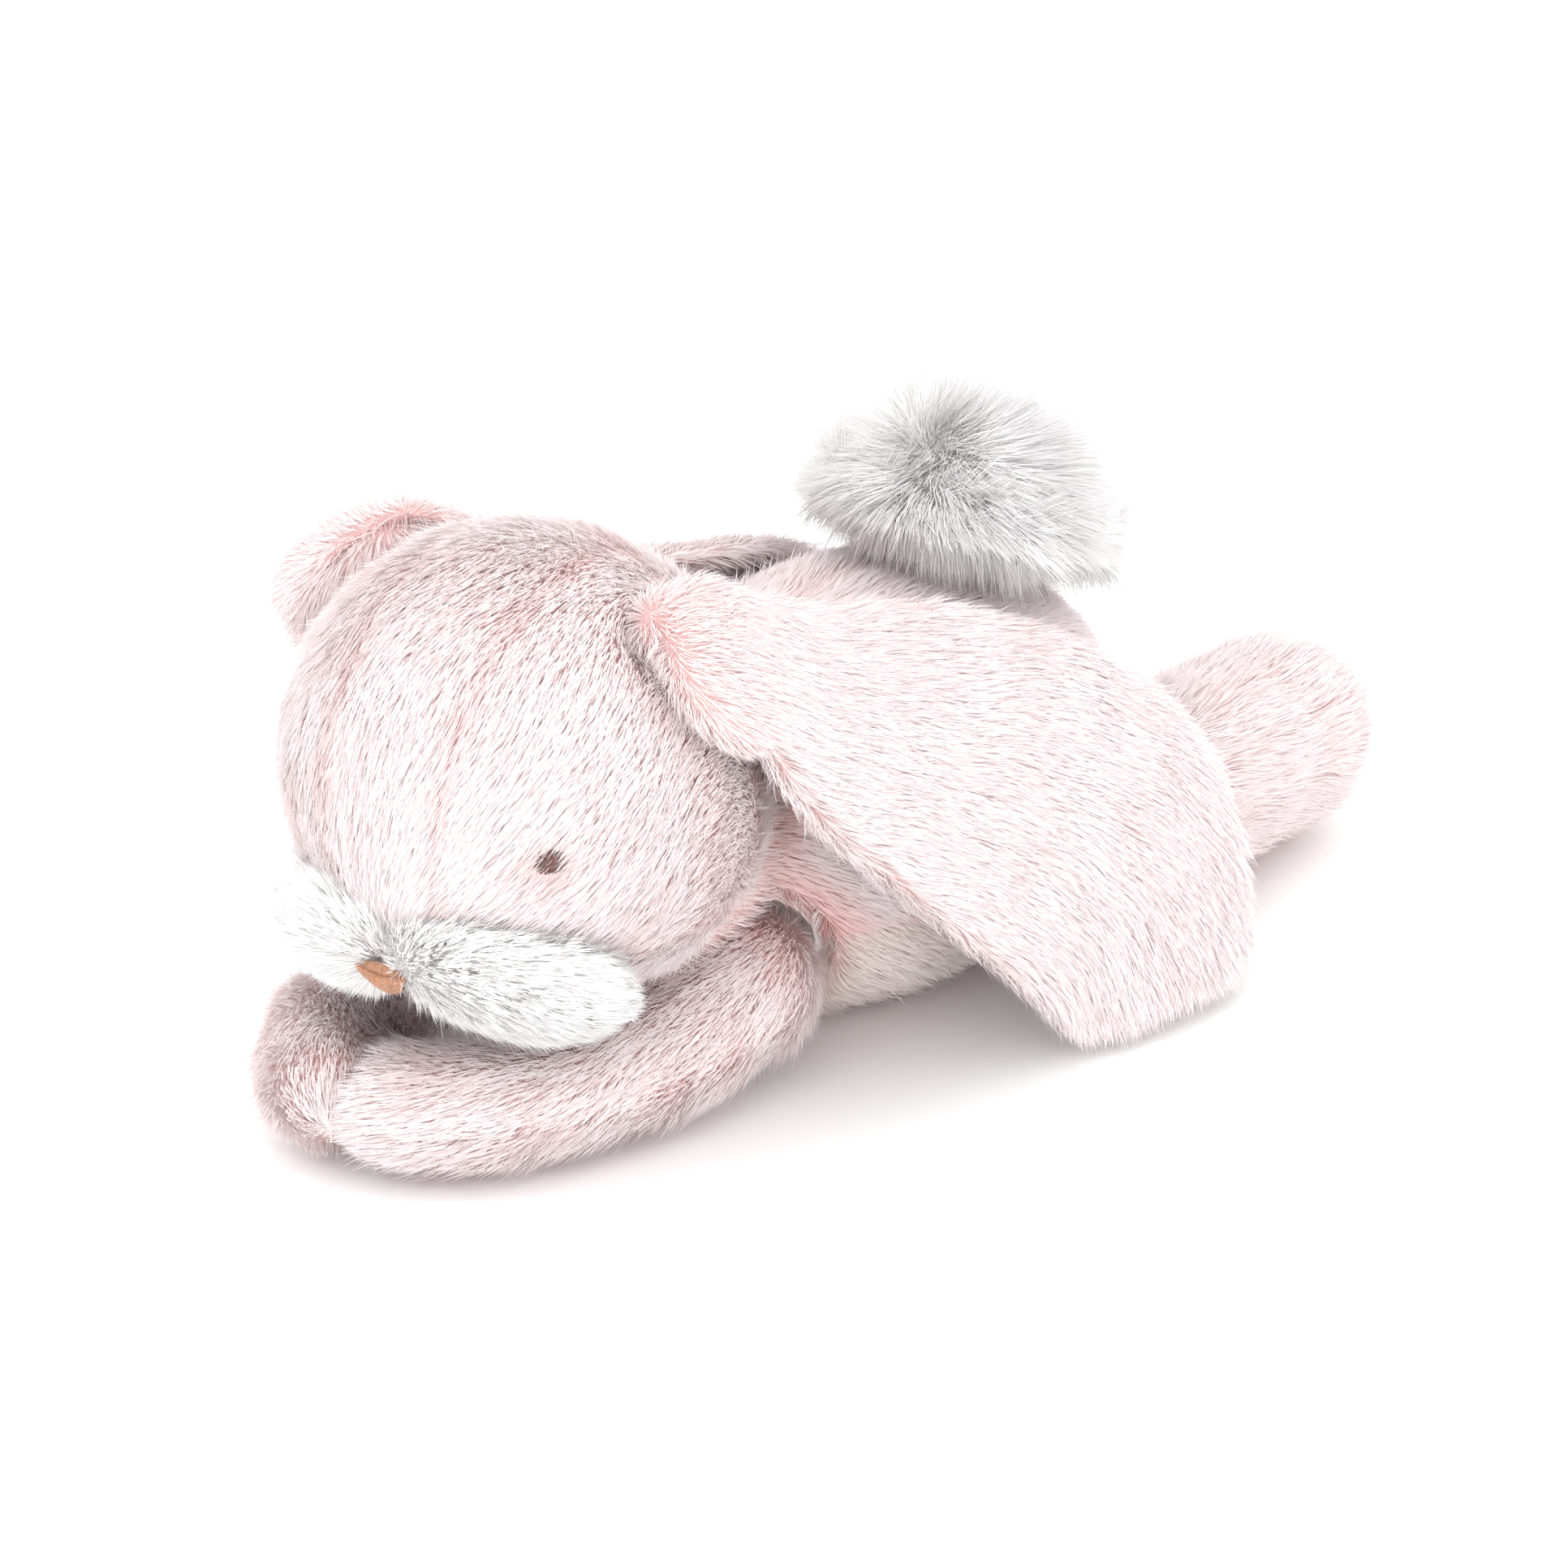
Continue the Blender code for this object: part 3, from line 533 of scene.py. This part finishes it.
# ---------------------------------------------------------------- eyes and nose
# Eyes and nose are embroidered: rows of satin stitch in brown thread, drawn tight so that they sink in.
def thread(name, dark, light, sheen):
    """Embroidery thread: glossy strands whose dye varies from stitch to stitch."""
    material = bpy.data.materials.new(name)
    material.use_nodes = True
    nodes, links = material.node_tree.nodes, material.node_tree.links
    shader = nodes["Principled BSDF"]
    place = nodes.new("ShaderNodeTexCoord")
    patches = nodes.new("ShaderNodeTexNoise")
    patches.inputs["Scale"].default_value = 900.0
    shades = nodes.new("ShaderNodeValToRGB")
    shades.color_ramp.elements[0].position = 0.35
    shades.color_ramp.elements[1].position = 0.65
    shades.color_ramp.elements[0].color = [*dark, 1.0]
    shades.color_ramp.elements[1].color = [*light, 1.0]
    ply = nodes.new("ShaderNodeTexWave")
    ply.inputs["Scale"].default_value = 900.0
    ply.inputs["Distortion"].default_value = 3.0
    dent = nodes.new("ShaderNodeBump")
    dent.inputs["Distance"].default_value = 0.0002
    links.new(place.outputs["Object"], patches.inputs["Vector"])
    links.new(place.outputs["Object"], ply.inputs["Vector"])
    links.new(patches.outputs["Fac"], shades.inputs["Fac"])
    links.new(shades.outputs["Color"], shader.inputs["Base Color"])
    links.new(ply.outputs["Fac"], dent.inputs["Height"])
    links.new(dent.outputs["Normal"], shader.inputs["Normal"])
    shader.inputs["Roughness"].default_value = 0.42
    shader.inputs["Sheen Weight"].default_value = sheen
    return material


def stitched(name, rows, radius):
    """Rows of thread as one mesh of thin round tubes."""
    curve = bpy.data.curves.new(name, "CURVE")
    curve.dimensions = "3D"
    curve.bevel_depth = radius
    curve.bevel_resolution = 1
    curve.use_fill_caps = True
    for row in rows:
        spline = curve.splines.new("POLY")
        spline.points.add(len(row) - 1)
        for point, place in zip(spline.points, row):
            point.co = (*place, 1.0)
    item = bpy.data.objects.new(name, curve)
    bpy.context.scene.collection.objects.link(item)
    only(item)
    bpy.ops.object.convert(target="MESH")
    bpy.ops.object.shade_smooth()
    return item


def axes_of(solid):
    """The middle of a flat solid, its long way, its short way and the way its face points."""
    points = np.array([v.co for v in frame["nodes"][solid].data.vertices])
    low_high = (points.min(0) + points.max(0)) / 2
    _, _, ways = np.linalg.svd(points - points.mean(0), full_matrices=False)
    out = ways[2] * np.sign(ways[2] @ (low_high - head_middle))
    up = np.array([0.0, 0.0, 1.0]) - out * out[2]
    up = unit(up)
    return low_high, np.cross(up, out), up, out


EYE_LONG, EYE_HIGH, EYE_DOME, EYE_TILT = 0.0046, 0.0035, 0.0014, math.radians(16)
EYE_SINK = 0.0042
EYE_ROWS = 13
eye_thread = thread("eye_thread", (0.045, 0.012, 0.010), (0.20, 0.07, 0.055), 0.3)
for side in eyes:
    middle, along, up, out = axes_of("eye_" + side)
    lean = EYE_TILT * (1 if side == "left" else -1)
    long_way = along * math.cos(lean) + up * math.sin(lean)
    high_way = np.cross(out, long_way)
    rows = []
    for step in range(EYE_ROWS):
        high = -1 + 2 * (step + 0.5) / EYE_ROWS
        reach_out = math.sqrt(1 - high * high)
        row = []
        for across in np.linspace(-1, 1, 9) * reach_out:
            dome = EYE_DOME * math.sqrt(max(0.0, 1 - 0.9 * (across**2 + high**2))) - EYE_SINK
            row.append(middle + long_way * across * EYE_LONG + high_way * high * EYE_HIGH + out * dome)
        rows.append(row)
    stitches = stitched(f"eye_{side}_stitches", rows, EYE_HIGH / EYE_ROWS * 1.15)
    stitches.data.materials.append(eye_thread)
    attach(stitches, "head")
    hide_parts("eye_" + side)

NOSE_HALF, NOSE_TOP, NOSE_TIP, NOSE_ROWS, NOSE_RISE = 0.0088, 0.0056, -0.0068, 26, 0.0030
nose_thread = thread("nose_thread", (0.42, 0.15, 0.055), (0.62, 0.27, 0.12), 0.4)
middle, along, up, out = axes_of("nose")
rows = []
for step in range(NOSE_ROWS):
    across = -1 + 2 * (step + 0.5) / NOSE_ROWS
    row = []
    for down in np.linspace(0, 1, 8):
        side_way = across * NOSE_HALF * (1 - 0.86 * down**1.15)
        bulge = NOSE_RISE - 0.0016 * across**2 - 0.0022 * (2 * down - 0.8) ** 2
        stray = 0.00025 * math.sin(9 * across + 5 * down)
        height = NOSE_TOP + (NOSE_TIP - NOSE_TOP) * down
        row.append(middle + along * (side_way + stray) + up * height + out * bulge)
    rows.append(row)
nose_stitches = stitched("nose_stitches", rows, 0.00042)
nose_stitches.data.materials.append(nose_thread)
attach(nose_stitches, "head")
nose_pad = frame["nodes"]["nose"]
nose_pad.data.materials.clear()
nose_pad.data.materials.append(nose_thread)


# ---------------------------------------------------------------- ears
# Long limp ears of plush on both faces, pinched at the root and laid back over the shoulders.
# The nap runs from the root to the tip.
def flow_along(points, path):
    """The direction of the path beside each point, turning smoothly from leg to leg."""
    path = np.array(path)
    legs = unit(path[1:] - path[:-1])
    centres = (path[1:] + path[:-1]) / 2
    gap = np.linalg.norm(points[:, None] - centres[None], axis=2)
    weight = np.exp(-((gap / 0.03) ** 2)) + 1e-9
    return unit((weight[..., None] * legs[None]).sum(1))


EAR_PILE = 0.0095
ROOT_PILE = 0.008
# The fold of cloth at each root: its middle, the way it runs, the way it spreads and its half sizes
EAR_FOLDS = {
    "left": ((0.064, -0.104, 0.152), (0.17, 0.75, -0.62), (-0.033, 0.030, 0.022), (0.024, 0.025, 0.009)),
    "right": ((-0.070, -0.120, 0.146), (-0.30, 0.75, -0.60), (0.036, 0.057, 0.027), (0.020, 0.027, 0.012)),
}
# Points down the middle of each ear, from its root to its tip
EAR_SPINES = {
    "left": (
        (0.066, -0.109, 0.166), (0.070, -0.092, 0.152), (0.070, -0.062, 0.131), (0.076, -0.026, 0.111),
        (0.084, 0.012, 0.088), (0.094, 0.044, 0.050), (0.100, 0.048, 0.007),
    ),
    "right": (
        (-0.057, -0.127, 0.166), (-0.077, -0.122, 0.149), (-0.072, -0.078, 0.129), (-0.076, -0.030, 0.110),
        (-0.084, 0.010, 0.088), (-0.094, 0.044, 0.050), (-0.100, 0.048, 0.007),
    ),
}
for index, (side, spine) in enumerate(EAR_SPINES.items()):
    flap = backing(f"ear_{side}_backing", [f"ear_{side}_outer", f"ear_{side}_lining"], 0.0025, 0.0022, 5)
    flap.data.materials.append(bpy.data.materials["pink_knit"])
    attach(flap, f"ear_{side}_flap")
    faces = [f"ear_{side}_outer", f"ear_{side}_lining"]
    fields = distances(flap, faces)
    sideways = 1 if side == "left" else -1

    def mostly_outside(middle, facing):
        """Less pile on the lining, which lies against the body."""
        return np.where(facing[:, 0] * sideways + 0.6 * facing[:, 2] > 0, 1.0, 0.65)

    here, out, reach = roots_on(flap, 72000, mostly_outside, 15 + index, fields)
    nap = flow_along(here, spine)
    nap = nap + 0.15 * ripple(here, 0.04, 9)[:, None] * np.cross(out, nap)
    root = np.array(spine[0])
    at_root = np.clip(1 - np.linalg.norm(here - root, axis=1) / 0.03, 0, 1)
    outer = reach[0] <= reach[1]
    long = EAR_PILE * (1 + 0.08 * ripple(here, 0.03, 6)) * (1 - 0.3 * at_root)
    tone = 0.94 + 0.05 * ripple(here, 0.035, 7) - 0.25 * at_root
    for title, mine, trim, yarn_slot in (
            (faces[0], outer, 1.0, "pink_plush"), (faces[1], ~outer, 0.7, "ear_lining_plush")):
        item = strands("pile_" + title, here[mine], out[mine], nap[mine], long[mine] * trim, 1.08,
                       tone[mine], 50 + index)
        finish_pile(item, pink_yarn, f"ear_{side}_flap", yarn_slot, title)

    knot = backing(f"ear_{side}_root_backing", [f"ear_{side}_root"], 0.002, 0.0, 2, EAR_FOLDS[side])
    knot.data.materials.append(bpy.data.materials["pink_knit"])
    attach(knot, f"ear_{side}_base")
    here, out, _ = roots_on(knot, 7500, everywhere, 17 + index, [])
    nap = flow_along(here, spine)
    item = strands(f"pile_ear_{side}_root", here, out, nap, ROOT_PILE, 1.12, 0.88, 60 + index)
    finish_pile(item, pink_yarn, f"ear_{side}_base", "pink_plush", f"ear_{side}_root")


# ---------------------------------------------------------------- arms and legs
# Each limb is a stuffed tube of an upper and a lower panel; the nap runs from the body to the paw.
LIMB_PILE = 0.0100
# Points down the middle of each limb, from the body to the paw
LIMB_PATHS = {
    "arm_left": (
        (0.036, -0.072, 0.034), (0.038, -0.102, 0.025), (0.033, -0.134, 0.021), (0.023, -0.160, 0.021),
        (0.009, -0.176, 0.021),
    ),
    "arm_right": (
        (-0.040, -0.076, 0.034), (-0.052, -0.110, 0.025), (-0.051, -0.142, 0.021), (-0.038, -0.168, 0.021),
        (-0.016, -0.184, 0.021),
    ),
    "leg_left": (
        (0.040, 0.082, 0.034), (0.034, 0.113, 0.034), (0.028, 0.143, 0.034), (0.026, 0.171, 0.034),
    ),
    "leg_right": (
        (-0.041, 0.070, 0.034), (-0.043, 0.091, 0.034), (-0.045, 0.110, 0.034), (-0.046, 0.127, 0.034),
    ),
}
for index, (limb, path) in enumerate(LIMB_PATHS.items()):
    faces = [limb + "_upper", limb + "_lower"]
    sleeve = backing(limb + "_backing", faces + [limb + "_stuffing"], 0.003, 0.0048, 4)
    sleeve.data.materials.append(bpy.data.materials["pink_knit"])
    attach(sleeve, limb)
    around = ["cheek_panel_left", "cheek_panel_right", "chin_panel", "muzzle_left", "muzzle_right",
              "back_panel_left", "back_panel_right", "belly_panel"]
    fields = distances(sleeve, faces) + [gap_to(sleeve, around)]
    here, out, reach = roots_on(sleeve, 28000, off_the_floor, 70 + index, fields)
    nap = flow_along(here, path) + np.array([0, 0, -0.1])
    nap = nap + 0.25 * ripple(here, 0.035, 9)[:, None] * np.cross(out, nap)
    upper = reach[0] <= reach[1]
    long = LIMB_PILE * (1 + 0.1 * ripple(here, 0.03, 6))
    # The tone deepens as painted shade where the limb lies against the cheeks, muzzle and body
    tone = 0.93 + 0.06 * ripple(here, 0.03, 7) - 0.5 * crease_shade(reach[2], 0.010)
    for title, mine in ((faces[0], upper), (faces[1], ~upper)):
        item = strands("pile_" + title, here[mine], out[mine], nap[mine], long[mine],
                       1.04 + 0.1 * ripple(here[mine], 0.03, 4), tone[mine], 80 + index)
        finish_pile(item, pink_yarn, limb, "pink_plush", title)


# ---------------------------------------------------------------- tail
# A pompom of long white fur sewn to the top of the rump, its wisps standing out and falling over.
TAIL_PILE = 0.0175
tail_yarn = plush(
    "tail_fur",
    ((0.92, 0.72, 0.70), (0.96, 0.86, 0.85), (0.97, 0.92, 0.92)),
    ((0.98, 0.955, 0.955), (0.99, 0.98, 0.982), (0.995, 0.99, 0.992)),
    through_light=0.35,
)
pompom = backing("tail_backing", ["tail_cover", "tail_stuffing"], 0.003, 0.010, 6)
pompom.data.materials.append(white_knit)
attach(pompom, "tail")
tail_middle = middle_of("tail_cover")
near_rump = gap_to(pompom, ["back_panel_left", "back_panel_right"])
here, out, reach = roots_on(pompom, 52000, everywhere, 19, [near_rump])
radial = unit(here - tail_middle)
nap = np.array([0.0, 0.3, -0.6]) + 0.3 * ripple(here, 0.02, 5)[:, None] * np.array([1.0, 0.0, 0.0])
long = TAIL_PILE * (1 + 0.12 * ripple(here, 0.02, 6))
# The tone deepens as painted shade where the pompom meets the rump
tone = 0.93 + 0.06 * ripple(here, 0.02, 7) - 0.8 * crease_shade(reach[0], 0.018)
lean = 0.50 + 0.10 * ripple(here, 0.03, 4)
item = strands("pile_tail", here, unit(out + radial), nap, long, lean, tone, 90, tuft=14, gather=0.15,
               unruly=1.8, width=0.00042)
finish_pile(item, tail_yarn, "tail", "white_long_plush", "tail_cover")


# ---------------------------------------------------------------- filling
# Hidden inside: white fibre in the body, head, limbs and tail, and a linen bag of pellets in the belly.
def filling(name, colour, texture, scale, rough):
    """Stuff seen only when a seam opens: a pattern of this texture in two close shades."""
    material = bpy.data.materials.new(name)
    material.use_nodes = True
    nodes, links = material.node_tree.nodes, material.node_tree.links
    shader = nodes["Principled BSDF"]
    place = nodes.new("ShaderNodeTexCoord")
    pattern = nodes.new(texture)
    pattern.inputs["Scale"].default_value = scale
    shades = nodes.new("ShaderNodeValToRGB")
    shades.color_ramp.elements[0].color = [0.75 * c for c in colour] + [1.0]
    shades.color_ramp.elements[1].color = [*colour, 1.0]
    dent = nodes.new("ShaderNodeBump")
    dent.inputs["Distance"].default_value = 0.0008
    links.new(place.outputs["Object"], pattern.inputs["Vector"])
    links.new(pattern.outputs["Fac"], shades.inputs["Fac"])
    links.new(shades.outputs["Color"], shader.inputs["Base Color"])
    links.new(pattern.outputs["Fac"], dent.inputs["Height"])
    links.new(dent.outputs["Normal"], shader.inputs["Normal"])
    shader.inputs["Roughness"].default_value = rough
    return material


fibre = filling("fibre_fill", (0.90, 0.89, 0.87), "ShaderNodeTexNoise", 240.0, 0.95)
linen = filling("linen_weave", (0.74, 0.66, 0.54), "ShaderNodeTexWave", 350.0, 0.85)
for solid, item in frame["nodes"].items():
    if solid.endswith("_stuffing") or solid == "pellet_bag":
        item.data.materials.clear()
        item.data.materials.append(linen if solid == "pellet_bag" else fibre)


# ---------------------------------------------------------------- floor, light and camera
# A white sweep under a broad soft light from the front left.
bpy.ops.object.select_all(action="DESELECT")
bpy.ops.mesh.primitive_plane_add(size=8.0, location=(0, 0, 0))
floor = bpy.context.object
floor.name = "floor"
floor_paper = bpy.data.materials.new("white_paper")
floor_paper.use_nodes = True
floor_paper.node_tree.nodes["Principled BSDF"].inputs["Base Color"].default_value = (0.88, 0.88, 0.88, 1)
floor_paper.node_tree.nodes["Principled BSDF"].inputs["Roughness"].default_value = 0.9
floor.data.materials.append(floor_paper)

world = bpy.data.worlds.new("soft_room")
world.use_nodes = True
world.node_tree.nodes["Background"].inputs["Color"].default_value = (1.0, 1.0, 1.0, 1)
world.node_tree.nodes["Background"].inputs["Strength"].default_value = 1.70
bpy.context.scene.world = world


def softbox(name, place, aim, size, watts):
    light = bpy.data.lights.new(name, "AREA")
    light.shape = "DISK"
    light.size = size
    light.energy = watts
    item = bpy.data.objects.new(name, light)
    bpy.context.scene.collection.objects.link(item)
    item.location = place
    item.rotation_euler = (Vector(aim) - Vector(place)).to_track_quat("-Z", "Y").to_euler()


KEY_SIZE, KEY_WATTS = 2.4, 17
softbox("key", (1.35, -1.60, 0.90), (0, 0, 0.05), KEY_SIZE, KEY_WATTS)

AZIMUTH, ELEVATION, DISTANCE = math.radians(46), math.radians(25), 1.5
aim = Vector((0.0, -0.0222, 0.060))
camera = bpy.data.objects.new("camera", bpy.data.cameras.new("camera"))
bpy.context.scene.collection.objects.link(camera)
backward = Vector((math.sin(AZIMUTH) * math.cos(ELEVATION), -math.cos(AZIMUTH) * math.cos(ELEVATION),
                   math.sin(ELEVATION)))
camera.location = aim + backward * DISTANCE
camera.rotation_euler = (-backward).to_track_quat("-Z", "Y").to_euler()
camera.data.lens = 116.0
camera.data.sensor_width = 36.0
camera.data.shift_x = 0.003
camera.data.shift_y = 0.0176
bpy.context.scene.camera = camera
bpy.context.scene.view_settings.view_transform = "Standard"
